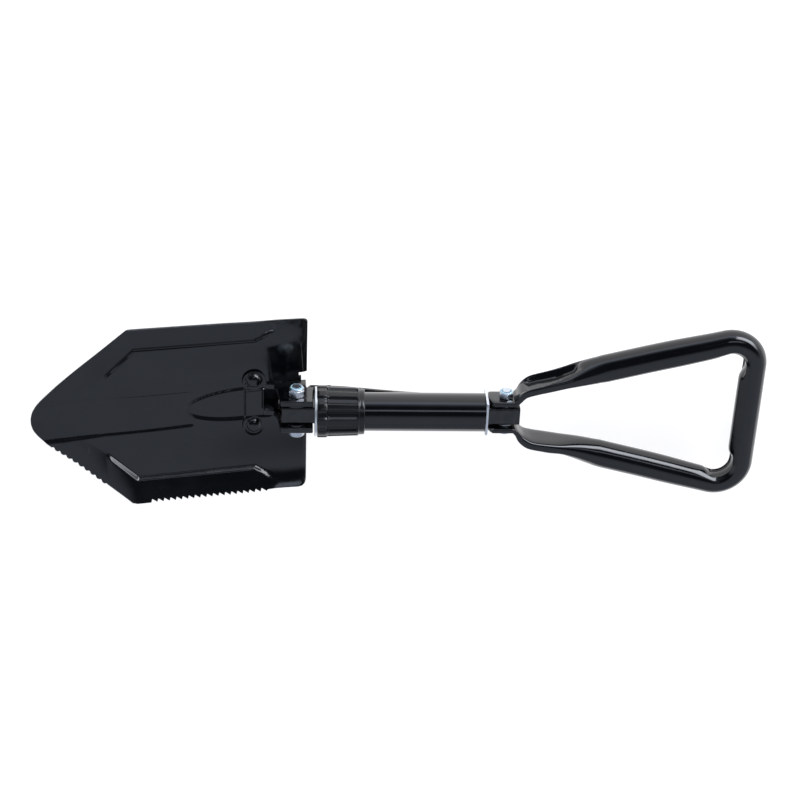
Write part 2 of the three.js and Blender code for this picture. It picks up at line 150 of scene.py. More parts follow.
def paint(name, rough=0.14, peel=1.0, worn=True):
    """Gloss black stove enamel: slight orange peel, dust, fine scratches, worn sharp edges."""
    mat, tree, bsdf = new_material(name)
    cloud = noise(tree, 22, 5, 0.6)
    dust = ramp(tree, cloud, [(0.42, ENAMEL), (0.75, tuple(1.9 * c + 0.0008 for c in ENAMEL))])
    streaks = noise(tree, 90, 6, 0.65, stretch=(0.15, 3.0, 3.0))
    scratch = ramp(tree, streaks, [(0.66, 0.0), (0.7, 1.0)])
    color = mix(tree, scratch, dust, tuple(c + 0.004 for c in ENAMEL))
    if worn:
        color = mix(tree, edge_wear(tree, 0.53, 0.6), color, BARE_EDGE)
    tree.links.new(color, bsdf.inputs["Base Color"])
    fine = noise(tree, 60, 4, 0.6)
    feed(tree, bsdf, "Roughness", fine, [(0.3, rough - 0.04), (0.7, rough + 0.07)])
    bsdf.inputs["Coat Weight"].default_value = 0.35
    bsdf.inputs["Coat Roughness"].default_value = 0.09
    bsdf.inputs["IOR"].default_value = 1.5
    peel_a = bump(tree, bsdf, noise(tree, 420, 2, 0.4), 0.05 * peel, 0.0004)
    bump(tree, bsdf, noise(tree, 55, 3, 0.5), 0.05 * peel, 0.0015, below=peel_a)
    return mat


def zinc(name, base=(0.66, 0.70, 0.76), rough=0.28):
    """Bright zinc plate with a faint blue passivation and fine grain."""
    mat, tree, bsdf = new_material(name)
    shade = tuple(0.84 * c for c in base)
    feed(tree, bsdf, "Base Color", noise(tree, 120, 5, 0.6),
         [(0.3, shade), (0.55, base), (0.8, (0.58, 0.60, 0.72))])
    bsdf.inputs["Metallic"].default_value = 1.0
    feed(tree, bsdf, "Roughness", noise(tree, 300, 4), [(0.3, rough - 0.07), (0.7, rough + 0.12)])
    bump(tree, bsdf, noise(tree, 900, 3), 0.06, 0.0003)
    return mat


def moulded(name):
    """Satin black moulded collar with fine spark-eroded grain and handling shine."""
    mat, tree, bsdf = new_material(name)
    base = ramp(tree, noise(tree, 40, 4),
                [(0.3, (0.002, 0.0022, 0.0026)), (0.8, (0.004, 0.0043, 0.005))])
    color = mix(tree, edge_wear(tree, 0.52, 0.6), base, (0.02, 0.021, 0.024))
    tree.links.new(color, bsdf.inputs["Base Color"])
    feed(tree, bsdf, "Roughness", noise(tree, 70, 3), [(0.3, 0.18), (0.7, 0.28)])
    bsdf.inputs["IOR"].default_value = 1.5
    bump(tree, bsdf, noise(tree, 1500, 2, 0.6), 0.12, 0.0003)
    return mat


def nylon(name):
    """Pale blue insert of a lock nut."""
    mat, tree, bsdf = new_material(name)
    feed(tree, bsdf, "Base Color", noise(tree, 200, 3),
         [(0.3, (0.42, 0.66, 0.80)), (0.8, (0.58, 0.80, 0.90))])
    bsdf.inputs["Roughness"].default_value = 0.38
    bsdf.inputs["Subsurface Weight"].default_value = 0.15
    bsdf.inputs["Subsurface Scale"].default_value = 0.002
    bump(tree, bsdf, noise(tree, 800, 2), 0.08, 0.0002)
    return mat


def dark_steel(name):
    """Oiled steel of the parts inside the collar and the tube."""
    mat, tree, bsdf = new_material(name)
    feed(tree, bsdf, "Base Color", noise(tree, 150, 5),
         [(0.3, (0.09, 0.09, 0.095)), (0.7, (0.2, 0.2, 0.21))])
    bsdf.inputs["Metallic"].default_value = 1.0
    feed(tree, bsdf, "Roughness", noise(tree, 260, 4), [(0.3, 0.26), (0.7, 0.46)])
    bump(tree, bsdf, noise(tree, 700, 3), 0.1, 0.0003)
    return mat


PAINT = paint("gloss_black_enamel")
PAINT_THICK = paint("gloss_black_enamel_grip", rough=0.1, peel=1.5)
PAINT_TUBE = paint("gloss_black_enamel_tube", rough=0.07, peel=0.8, worn=False)
ZINC = zinc("zinc_plate")
ZINC_PALE = zinc("zinc_plate_pale", base=(0.84, 0.87, 0.89), rough=0.36)
PLASTIC = moulded("moulded_black")
NYLON = nylon("blue_nylon")
STEEL = dark_steel("oiled_steel")


# ---------------------------------------------------------------- mesh helpers
def piece(name, verts, faces, body, slot, mat, nodes=(), bevel=0.0, angle=35, segments=2):
    """One finished object from points in millimetres about the blade bolt."""
    me = bpy.data.meshes.new(name)
    me.from_pydata([tuple(Vector(v) * MM + ORIGIN) for v in verts], [], [list(f) for f in faces])
    me.validate()
    bm = bmesh.new()
    bm.from_mesh(me)
    bmesh.ops.remove_doubles(bm, verts=bm.verts, dist=1e-6)
    bmesh.ops.recalc_face_normals(bm, faces=bm.faces)
    bm.to_mesh(me)
    bm.free()
    me.polygons.foreach_set("use_smooth", [True] * len(me.polygons))
    me.set_sharp_from_angle(angle=math.radians(angle))
    obj = bpy.data.objects.new(name, me)
    bpy.context.scene.collection.objects.link(obj)
    me.materials.append(mat)
    if bevel:
        m = obj.modifiers.new("edge", "BEVEL")
        m.width, m.segments, m.limit_method = bevel * MM, segments, "ANGLE"
        m.angle_limit = math.radians(angle)
        m.harden_normals = True
    if nodes:
        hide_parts(*nodes)
    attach(obj, body)
    return obj


def arc(cx, cy, r, a0, a1, steps):
    return [(cx + r * math.cos(math.radians(a0 + (a1 - a0) * i / steps)),
             cy + r * math.sin(math.radians(a0 + (a1 - a0) * i / steps))) for i in range(steps + 1)]


def lathe(profile, axis="x", centre=(0, 0, 0), count=96, radius=None):
    """Closed turned shape from a (radius, height) profile round the axis.

    radius(angle, height, r), if given, scales the radius of each point."""
    verts, faces, n = [], [], len(profile)
    for i in range(count):
        a = 2 * math.pi * i / count
        for j, (r, h) in enumerate(profile):
            q = r * (radius(a, h, r) if radius else 1)
            u, v = q * math.cos(a), q * math.sin(a)
            p = (h, u, v) if axis == "x" else ((u, h, v) if axis == "y" else (u, v, h))
            verts.append((p[0] + centre[0], p[1] + centre[1], p[2] + centre[2]))
    for i in range(count):
        k = (i + 1) % count
        for j in range(n):
            m = (j + 1) % n
            if profile[j][0] < 1e-6 and profile[m][0] < 1e-6:
                continue
            faces.append((i * n + j, k * n + j, k * n + m, i * n + m))
    return verts, faces


def inside(loops, x, y):
    """Whether a point lies within an outline and outside its holes."""
    odd = False
    for loop in loops:
        for (x0, y0), (x1, y1) in zip(loop, loop[1:] + loop[:1]):
            if (y0 > y) != (y1 > y) and x < (x1 - x0) * (y - y0) / (y1 - y0) + x0:
                odd = not odd
    return odd


def filled(loops, extra=()):
    """Points and triangles of the area of an outline less its holes."""
    edges, start = [], 0
    for loop in loops:
        edges += [(start + i, start + (i + 1) % len(loop)) for i in range(len(loop))]
        start += len(loop)
    flat = [Vector(p) for loop in loops for p in loop] + list(extra)
    pts, _, tris, *_ = geometry.delaunay_2d_cdt(flat, edges, [], 0, 1e-7)
    return pts, [t for t in tris
                 if inside(loops, sum(pts[i][0] for i in t) / 3, sum(pts[i][1] for i in t) / 3)]


def walled(one, other, tris):
    """Closed shell: the triangles on two sets of points, with walls round their border."""
    n = len(one)
    faces = [tuple(t) for t in tris] + [tuple(i + n for i in reversed(t)) for t in tris]
    edges = {pair: None for t in tris for pair in ((t[0], t[1]), (t[1], t[2]), (t[2], t[0]))}
    faces += [(b, a, a + n, b + n) for a, b in edges if (b, a) not in edges]
    return one + other, faces


def prism(outline, low, high, axis="z", holes=()):
    """Flat outline with holes, extruded. Outline is in XY for z, XZ for y, and YZ for x."""
    pts, tris = filled([list(outline)] + [list(h) for h in holes])
    place = {"z": (0, 1, 2), "y": (0, 2, 1), "x": (2, 0, 1)}[axis]

    def lift(height):
        return [tuple((p[0], p[1], height)[k] for k in place) for p in pts]

    return walled(lift(low), lift(high), tris)


def draped(outline, step, height, thick):
    """Sheet cut to an outline and laid on a height function, with points about `step` apart."""
    xs, ys = [p[0] for p in outline], [p[1] for p in outline]
    border = [Vector(p) for p in outline]
    inner = []
    for i in range(int((max(xs) - min(xs)) / step) + 1):
        for j in range(int((max(ys) - min(ys)) / step) + 1):
            x, y = min(xs) + (i + 0.5) * step, min(ys) + (j + 0.5 + 0.5 * (i % 2)) * step
            if inside([outline], x, y) \
                    and min((x - p.x) ** 2 + (y - p.y) ** 2 for p in border) > (0.6 * step) ** 2:
                inner.append(Vector((x, y)))
    pts, tris = filled([outline], inner)
    high = [(p[0], p[1], height(p[0], p[1])) for p in pts]
    return walled(high, [(x, y, z - thick) for x, y, z in high], tris)


def merged(*shapes):
    """Several shapes as one mesh."""
    verts, faces = [], []
    for v, f in shapes:
        k = len(verts)
        verts += list(v)
        faces += [tuple(i + k for i in q) for q in f]
    return verts, faces


def dissolve(obj, angle=1.0):
    """Merges the flat triangles of a prism, so that bevels run clean."""
    bm = bmesh.new()
    bm.from_mesh(obj.data)
    bmesh.ops.dissolve_limit(bm, angle_limit=math.radians(angle), verts=bm.verts, edges=bm.edges)
    bm.to_mesh(obj.data)
    bm.free()
    obj.data.polygons.foreach_set("use_smooth", [True] * len(obj.data.polygons))
    obj.data.set_sharp_from_angle(angle=math.radians(35))


def rounded_rect(w, h, r, steps):
    x, y = w / 2 - r, h / 2 - r
    return arc(x, y, r, 0, 90, steps) + arc(-x, y, r, 90, 180, steps) \
        + arc(-x, -y, r, 180, 270, steps) + arc(x, -y, r, 270, 360, steps)


def circle(r, steps):
    return arc(0, 0, r, 0, 360 * (steps - 1) / steps, steps - 1)


def ease(v):
    """Smooth step from 0 to 1."""
    t = min(1.0, max(0.0, v))
    return t * t * (3 - 2 * t)


def table(points):
    """Straight-line interpolation through (x, y) points."""
    xs, ys = zip(*points)
    return lambda x: np.interp(x, xs, ys)


def spline(points, per):
    """Catmull-Rom curve through points of any dimension, `per` steps to each span."""
    p = [np.array(q, float) for q in points]
    p = [2 * p[0] - p[1]] + p + [2 * p[-1] - p[-2]]
    out = []
    for a, b, c, d in zip(p, p[1:], p[2:], p[3:]):
        for i in range(per):
            t = i / per
            out.append(0.5 * (2 * b + (c - a) * t + (2 * a - 5 * b + 4 * c - d) * t * t
                              + (3 * b - a - 3 * c + d) * t ** 3))
    return out + [p[-2]]


def dip(d):
    """Cross-section of a fine groove."""
    return math.exp(-((d / 0.8) ** 2))


def riser(d, height, width, soft=0.4):
    """Straight pressed step of the given width centred on d = 0, with small rounds."""
    def bend(t):
        return 0.5 * (t + math.sqrt(t * t + soft * soft))
    return height * (bend(d + width / 2) - bend(d - width / 2)) / width


# ---------------------------------------------------------------- blade
SHEET = 2.0  # thickness
TILT = 0.1853  # fall of the open blade towards the rear, in mm per mm
HALF = 81.0  # half width
TIP_X, REAR_X, LIP_X = -214.0, 8.6, 2.8  # the lip is the turned rear edge
SLOT_X, SLOT_HALF = -27.3, 10.4  # slot of the pick, open to the rear
PATTERN_Y = 2.3  # the pressed pattern sits this far off the centre line, towards -Y
SIDE_RISE = {1: 4.5, -1: 8.3}  # of the plain (+Y) and the toothed (-Y) side, past the step line
STEP_RISE, CHANNEL_RISE, TONGUE_RISE = 2.5, -1.1, -1.5
RIVET_X, RIVET_GAP = -35, 21.2
RIVETS = ((RIVET_X, RIVET_GAP - PATTERN_Y), (RIVET_X, -RIVET_GAP - PATTERN_Y))
NOSE = [(TIP_X, 0), (-213.6, 4), (-211.8, 9.6), (-207, 16.8), (-200, 23.9), (-192.5, 31)]
EDGE_SLOPE = 50 / 57  # of the slanted edges
LOBES, LOBES_X, LOBES_LONG, LOBE_DEEP = 9, -197.6, 41, 1.75
TEETH, TEETH_X, TEETH_LONG = 19, -119.4, 95.6


def nose_points():
    return [tuple(q) for q in spline(NOSE, 6)]


def plain_edge():
    """Outline of the plain side: x and distance from the centre line."""
    return nose_points() + [
        (-136, 80), (-134.6, 80.8), (-132, HALF), (-128, HALF), (-60, 80.2), (-25, 79.2),
        (2, 78.4), (5.5, 78), (7.6, 76.6), (8.4, 75), (REAR_X, 73)]


def toothed_edge():
    """Outline of the toothed side: round lobes along the point, then slanted saw teeth."""
    out = [q for q in nose_points() if q[0] < LOBES_X - 0.2]
    run = LOBES_LONG / LOBES
    for i in range(LOBES):
        x0 = LOBES_X + i * run
        y0 = NOSE[-1][1] + EDGE_SLOPE * (x0 - NOSE[-1][0])
        out.append((x0 + 1.0, y0 - LOBE_DEEP))
        for u in (0.08, 0.16, 0.28, 0.42, 0.58, 0.72, 0.84, 0.92):
            b = 2.0 * math.sin(math.pi * u) ** 0.75 - 2.0
            out.append((x0 + 1.0 + u * run - 0.55 * (b + 2.0),
                        y0 - LOBE_DEEP + EDGE_SLOPE * u * run + 0.92 * (b + 2.0)))
    out += [(-155.2, 62.3), (-150, 66.9), (-144.6, 71.6), (-137, 78.4), (-135.4, 79.9),
            (-131, HALF), (-120, HALF - 0.1)]
    pitch = TEETH_LONG / TEETH
    for i in range(TEETH):
        x = TEETH_X + i * pitch
        out += [(x, HALF - 2.7), (x + 0.3, HALF - 2.75), (x + 0.8 * pitch, HALF - 0.35),
                (x + 0.86 * pitch, HALF - 0.4)]
    return out + [(-23.4, HALF - 1.2), (2, 80.4), (5.5, 80), (7.6, 78.6), (8.4, 77), (REAR_X, 75)]


PLAIN, TOOTHED = table(plain_edge()), table(toothed_edge())
STEP_START = [(TIP_X, 4), (-172, 22), (-155, 37), (-130.5, 61), (-34.3, 60.5)]
STEP_LINE = {1: table(STEP_START + [(-21.4, 67.4), (-12, 69), (9, 68)]),
             -1: table(STEP_START + [(-15.7, 74), (-8, 75), (9, 74)])}  # of each side


def blade_z(x, y):
    """Hollow face of the pressed sheet."""
    a, side = abs(y), 1 if y >= 0 else -1
    line, near = STEP_LINE[side](x), STEP_LINE[side](x + 0.5)
    slope = (near - line) / 0.5
    # dished middle, sides that rise past the step line
    floor = -20.6 - 4.6 * ease((x + 130) / 105) - 0.8 * ease((x + 25) / 30)
    z = floor + (-17.2 - floor) * (ease((a - 20) / 48) if side > 0 else ease((a - 14) / 56))
    start = min(line, 62)
    past = min(1.0, max(0.0, (a - start) / (84 - start)))
    z += SIDE_RISE[side] * past ** (1 + ease((x + 40) / 25)) * ease((x + 190) / 60)
    # the step: sharp along the sides, fading out at both ends; a groove runs beside the plain one
    d = (a - line) / math.sqrt(1 + slope * slope)
    sharp = ease((x + 156.5) / 5) * (1 - ease((x + 27) / (10 if side > 0 else 13)))
    z += riser(d, STEP_RISE, 2.5) * sharp + STEP_RISE * (1 - sharp) * ease((d + 11) / 27)
    z -= STEP_RISE * ease((-140 - x) / 45) * ease((a - 20) / 30) * 0.5
    if side > 0:
        z -= (0.75 + 0.35 * min(1.0, abs(slope))) * dip(0.85 * d + 2.0) * sharp
    # channel to the point and tongue at the root, both off the centre line
    y += PATTERN_Y
    a = abs(y)
    width = 1.8 + 1.0 * ease((-135 - x) / 30)
    channel = riser(15.8 + 0.015 * max(0.0, -84 - x) - a, 1, width, 0.25)
    channel = channel * ease((-83 - x) / 4) * ease((x + 216) / 12)
    u, v = max(0.0, (-45 - x) / 46), a / 14.5
    d = (1 - u * u - v * v) / (2 * math.hypot(u / 46, v / 14.5) + 1e-6)
    tongue_end = ease((-44 - x) / 1.5 + 1)
    tongue = riser(min(d, 8), 1, 2.9, 0.4) * tongue_end
    z += CHANNEL_RISE * channel * (1 - 0.6 * tongue) + TONGUE_RISE * tongue
    z -= 0.72 * ease((y + 3) / 6) * dip(0.8 * (d - 1.9)) * tongue_end
    if abs(y - PATTERN_Y) > 21:
        z -= 1.5 * min(1.0, max(0.0, (x - LIP_X) / (REAR_X - LIP_X))) ** 2
    return z - TILT * x


def blade_columns():
    """Places along X: an even grid, with exact columns where the outline or a step turns."""
    grid = set(np.round(np.concatenate([np.arange(-209, -100, 1.3), np.arange(-100, -40, 0.8),
                                        np.arange(-40, 2, 1.6), np.arange(2, REAR_X, 0.7)]), 3))
    fixed = [p[0] for p in nose_points()] + [p[0] for p in toothed_edge()]
    fixed += [SLOT_X, 1.8, 3.8, -30.5, REAR_X]
    fixed += [TIP_X + v for v in (0.02, 0.1, 0.3, 0.6, 1.0, 1.5, 2.2, 3.0, 4.0)]
    fixed += [REAR_X - 0.4, -34.3, -130.5, -155]
    out = []
    for x in sorted([x for x in grid if min(abs(x - f) for f in fixed) > 0.35] + fixed):
        if not out or x - out[-1] > 0.015:
            out.append(x)
    return out


# reference rows: the root's last one, the two beside the step's riser, the rim and the edge
ROOT_ROW, STEP_FROM, STEP_TO, RIM_ROW, EDGE_ROW = 24, 55.4, 66.6, 80.3, 81


def blade_rows():
    """Reference rows for one side, dense where the pressing is steep."""
    near = [-4, -3.3, -2.8, -2.3, -1.9, -1.5, -1.1, -0.7, 0, 0.7, 1.1, 1.5, 1.9, 2.6, 4]
    rows = list(np.arange(0, 10, 0.8)) + [SLOT_HALF] + list(np.arange(11.1, 18, 0.62))
    rows += [18.3, 19.4, 20.6, 21.8, 22.8, ROOT_ROW, 26, 28.2, 30.4, 32.6, 34.8, 37, 39.4, 41.8]
    rows += [44.2, 46.6, 49, 51.4, 53.6, STEP_FROM] + [61 + v for v in near]
    return rows + [STEP_TO, 68.4, 70.2, 72, 73.8, 75.6, 77.4, 79, RIM_ROW, EDGE_ROW]


def blade_row_y(row, x, side):
    """Y of a reference row at x: the rows close up where the blade narrows."""
    edge = float((PLAIN if side > 0 else TOOTHED)(x))
    line = min(float(STEP_LINE[side](x)), 0.78 * edge)
    root = min(ROOT_ROW, 0.66 * line)
    before = max(root * 1.02, line - 5.6 * min(1, line / 61))
    after = min(line + 5.6, line + 0.45 * (edge - line))
    rim = max(edge - 0.6, 0.96 * edge)
    return side * float(np.interp(row, (0, ROOT_ROW, STEP_FROM, STEP_TO, RIM_ROW, EDGE_ROW),
                                  (0, root, before, after, rim, edge)))


def in_gap(x, a):
    """The slot of the pick, and the notches beside it in the rear edge."""
    return (a < SLOT_HALF and x > SLOT_X) or (a < 18.3 and x > 3.8) or (18.3 < a < 21.8 and x > 1.8)


def make_blade():
    xs, half = blade_columns(), blade_rows()
    rows = [(r, -1) for r in reversed(half[1:])] + [(r, 1) for r in half]
    top, low = [], []
    for x in xs:
        for row, side in rows:
            y = blade_row_y(row, x, side)
            drop = 0.5 if row == EDGE_ROW or x == REAR_X else 0.0
            z = blade_z(x, y)
            top.append((x, y, z - drop))
            low.append((x, y, z - SHEET + 0.5 * drop))
    n, count = len(rows), len(xs) * len(rows)
    cells, faces = set(), []
    for i in range(len(xs) - 1):
        for j in range(n - 1):
            corners = [top[k * n + m] for k in (i, i + 1) for m in (j, j + 1)]
            if not in_gap(sum(c[0] for c in corners) / 4, abs(sum(c[1] for c in corners) / 4)):
                cells.add((i, j))
    for i, j in cells:
        a, b, c, d = i * n + j, (i + 1) * n + j, (i + 1) * n + j + 1, i * n + j + 1
        faces += [(a, b, c, d), (a + count, d + count, c + count, b + count)]
        for p, q, beside in ((a, b, (i, j - 1)), (b, c, (i + 1, j)),
                             (c, d, (i, j + 1)), (d, a, (i - 1, j))):
            if beside not in cells:
                faces.append((q, p, p + count, q + count))
    piece("blade_sheet", top + low, faces, "blade", "paint", PAINT, ("blade",), angle=40)


# ---------------------------------------------------------------- bracket and rivets
EAR_IN, EAR_OUT = 10, 15  # inner and outer face of an ear, from the centre line


def bracket_outline():
    """Web with a lobe round each rivet, open between the ears; it follows the pressed pattern."""
    half = arc(RIVET_X, 20.6, 9.4, 224.6, 0, 26)
    half += [(-24.6, 17), (-22, 15.6), (-18, 15.2), (-12, 15), (-12, SLOT_HALF), (SLOT_X, SLOT_HALF)]
    whole = half + [(x, -y) for x, y in reversed(half)]
    return [(x, y - PATTERN_Y * ease((-16 - x) / 9)) if x < -27.5 or abs(y) > 12 else (x, y)
            for x, y in whole]


def bracket_z(x, y):
    """Top of the bracket plate: the web sinks between the lobes, with a groove round each rivet."""
    web = riser(13.4 - abs(y + PATTERN_Y), 1, 1.9, 0.3)
    if y > 0:
        web += 0.45 * dip(y + PATTERN_Y - 11.6)
    for rx, ry in RIVETS:
        web += 0.55 * dip(math.hypot(x - rx, y - ry) - 6.9)
    return blade_z(max(x, -43), y) + 0.15 + 2.0 - 1.1 * web


def ear_outline():
    out = [(13.6, -12.4)] + arc(12.4, 9.6, 1.2, 0, 90, 5) + arc(-12, 9.6, 1.2, 90, 170, 5)
    out += [(-15.6, -10), (-17.4, -15.4), (-18.8, -17.2), (-21, -18), (-24, -18.1), (-27.3, -18.2)]
    out += [(x, blade_z(x, 12.5) + 0.15) for x in (-27.3, -22, -16, -10, -4, 2, 5.4, 7.8)]
    return out + [(7.9, -18), (8.4, -14.4), (9.4, -12.8)]


def make_bracket():
    piece("bracket_plate", *draped(bracket_outline(), 0.8, bracket_z, 2.4), "blade", "paint", PAINT,
          ("blade_bracket",), bevel=0.5, angle=40)
    for side, name in ((1, "left"), (-1, "right")):
        low, high = sorted((side * EAR_IN, side * EAR_OUT))
        ear = piece("bracket_ear_" + name, *prism(ear_outline(), low, high, "y"), "blade", "paint",
                    PAINT, bevel=0.9, segments=3)
        dissolve(ear)


def make_rivets():
    dome = [(0, 2.95), (1.4, 2.86), (2.8, 2.56), (4.1, 2.02), (5.1, 1.3), (5.7, 0.6), (5.95, 0.1),
            (6.1, -0.1), (6.3, -0.3), (6.3, -0.6)]
    shank_and_tail = [(3, -0.6), (3, -4.6), (5.5, -4.7), (5.4, -5.6), (4.2, -6.4), (0, -6.7)]
    for (x, y), name in zip(RIVETS, ("left", "right")):
        verts, faces = lathe(dome + shank_and_tail, "z", count=64)
        fall = (blade_z(x - 4, y) - blade_z(x + 4, y)) / 8
        turn = Matrix.Rotation(math.atan(fall), 3, "Y")
        base = Vector((x, y, bracket_z(x, y) + 0.1))
        verts = [tuple(turn @ Vector(v) + base) for v in verts]
        piece("rivet_dome_" + name, verts, faces, "blade", "paint", PAINT_THICK,
              ("rivet_" + name,), angle=50)


# ---------------------------------------------------------------- bolts, nuts, inserts, shims
SEAT = 15.3  # where heads and nuts bear on the ears
HEAD_R = 6.9


def hexed(apothem):
    """Radius scale that cuts a turned nut to six flats."""
    def scale(a, h, r):
        if r < apothem - 0.3:
            return 1
        turn = math.pi / 3
        return min(1, apothem / (r * math.cos((a + turn / 2) % turn - turn / 2)))
    return scale


def make_fasteners():
    # each bolt: place, half width of the nut's flats, height of the nut, height of the head
    for x, end, flats, squat, tall in ((0, "blade", 6.1, 1.0, 7.8), (GRIP_X, "grip", 5.6, 0.7, 3.0)):
        at = (x, 0, 0)
        threads = [(3.72 if i % 2 else 4, 10 + 0.6 * i) for i in range(int(8 + 12 * squat))]
        shank = [(4, -15.4)] + threads + [(3.4, SEAT + 8.5 * squat), (0, SEAT + 8.6 * squat)]
        rim = min(2.6, 0.6 * tall)
        head = [(HEAD_R * math.sin(t), -SEAT - tall + rim * (1 - math.cos(t)))
                for t in np.linspace(0, math.pi / 2, 12)] + [(HEAD_R, -15.7), (6.7, -SEAT)]
        piece(end + "_bolt_pan_head", *lathe(head + shank, "y", at), "shaft", "zinc", ZINC,
              (end + "_bolt",), angle=32)
        nut = [(4.2, 15.3), (flats + 0.2, 15.3), (flats + 0.95, 16.1), (flats + 0.95, 20.4),
               (flats + 0.6, 20.9), (5.9, 21.2), (5.8, 22.0), (5.6, 22.35), (5.2, 22.5), (5.0, 22.2),
               (4.2, 22.2)]
        nut = [(r, SEAT + squat * (h - SEAT)) for r, h in nut]
        piece(end + "_lock_nut", *lathe(nut, "y", at, radius=hexed(flats)), "shaft", "zinc", ZINC,
              (end + "_nut",), bevel=0.16, angle=20)
        ring = [(4.1, 22.25), (5.0, 22.25), (5.0, 22.9), (4.85, 23.2), (4.5, 23.35), (4.1, 23.3)]
        ring = [(r, SEAT + squat * (h - SEAT)) for r, h in ring]
        piece(end + "_nylon_ring", *lathe(ring, "y", at, 64), "shaft", "nylon", NYLON,
              (end + "_nut_insert",), angle=50)
    for side, name in ((1, "left"), (-1, "right")):
        low, high = sorted((side * 8.3, side * 9.7))
        ring = [(4.35, low), (6.2, low), (6.5, low + 0.3), (6.5, high - 0.3), (6.2, high),
                (4.35, high)]
        piece("grip_washer_" + name, *lathe(ring, "y", (GRIP_X, 0, 0), 64), "grip", "zinc",
              ZINC_PALE, ("grip_shim_" + name,), angle=30)


# ---------------------------------------------------------------- shaft
TUBE_OUT, TUBE_IN = 16, 14.5


def make_shaft():
    square = rounded_rect(16, 16, 2.4, 10)
    bar_hole = rounded_rect(16.6, 16.6, 2.4, 8)
    bar = piece("square_bar", *prism(square, -12, 184, "x", [rounded_rect(11, 11, 1, 4)]), "shaft",
                "paint", PAINT, ("inner_bar",), bevel=0.45, angle=50)
    dissolve(bar, 0.5)
    wall = [(TUBE_IN, 22), (15.7, 22)]
    wall += [(TUBE_OUT, x) for x in (22.3, 60, 90, 120, 154.7)] + [(15.7, 155), (TUBE_IN, 155)]
    piece("outer_tube", *lathe(wall, "x", count=160), "shaft", "paint", PAINT_TUBE,
          ("shaft_tube",), angle=40)
    end = rounded_rect(32, 27, 4, 8)
    plate = piece("tube_end_plate", *prism(end, 155.3, 157.3, "x", [bar_hole]), "shaft", "zinc",
                  ZINC_PALE, ("end_plate",), bevel=0.35, angle=50)
    dissolve(plate, 0.5)
    washer = piece("collar_washer", *prism(circle(20.5, 120), 15.0, 16.8, "x", [bar_hole]), "washer",
                   "zinc", ZINC_PALE, ("lock_washer",), bevel=0.3, angle=50)
    dissolve(washer, 0.5)
    for node in ("guide_bush", "threaded_sleeve"):
        keep = bpy.data.objects.get(node)
        keep.data.materials.clear()
        keep.data.materials.append(STEEL)


FLUTES, FLUTE_AT = 10, math.radians(33)
FLUTE_HALF, FLUTE_DEEP, FLANGE_FLUTE_DEEP = 3.2, 1.9, 1.3
FLUTE_LOW, FLUTE_HIGH = 25.4, 50.2


def collar_radius(a, x, r):
    """Narrow rounded flutes with round ends; shallower ones across the flange."""
    turn = 2 * math.pi / FLUTES
    d = abs((a - FLUTE_AT + turn / 2) % turn - turn / 2) * r
    if r < 18.5:
        return 1
    if FLUTE_LOW < x < FLUTE_HIGH:
        reach = min(1.0, (x - FLUTE_LOW) / 1.4, (FLUTE_HIGH - x) / 1.4)
        half = FLUTE_HALF * math.sqrt(max(0.0, 1 - (1 - reach) ** 2)) + 1e-4
        return 1 - FLUTE_DEEP / r * ease(1.6 - 1.25 * d / half)
    if x < FLUTE_LOW:
        return 1 - FLANGE_FLUTE_DEEP / r * ease(1.6 - 1.25 * d / FLUTE_HALF)
    return 1


def make_collar():
    flange = [(17.75, 17.3), (20.6, 17.2), (21.2, 17.4), (21.5, 17.9), (21.5, 19.5), (21.5, 21.5),
              (21.5, 24.4), (21.2, 24.9), (20.9, 25.2), (20.6, 25.3)]
    places = np.concatenate([np.linspace(25.5, 28, 8), np.linspace(30, 46, 9),
                             np.linspace(47.5, 50.4, 10)])
    barrel = [(20.6 - 0.032 * (x - 25.5), x) for x in places]
    end = [(19.7, 50.7), (19.1, 51), (18.95, 51.3), (18.9, 53), (18.8, 54.9), (18.5, 55.5),
           (18, 55.8), (16.5, 55.8), (16.5, 51.8), (17.75, 50.8)]
    piece("fluted_collar", *lathe(flange + barrel + end, "x", count=360, radius=collar_radius),
          "collar", "plastic", PLASTIC, ("lock_collar",), angle=40)


# ---------------------------------------------------------------- grip
TUBE_R, BAR_R = 11.5, 10.7  # radius of the tube in the arms and in the cross bar
BAR_X, BEND_R = 374.7, 20.0  # middle of the cross bar, radius of the two bends
SLOPE = 0.26  # of the arms
EAR_R, EAR_Y, EAR_HALF = 14.4, 12.5, 2.5  # rounded end, centre and half thickness of the flat ends
FLAT_COS, FLAT_SIN = 0.766, 0.643  # lean of the flattened inner faces of the bar
SIDES = 64  # corners of one section


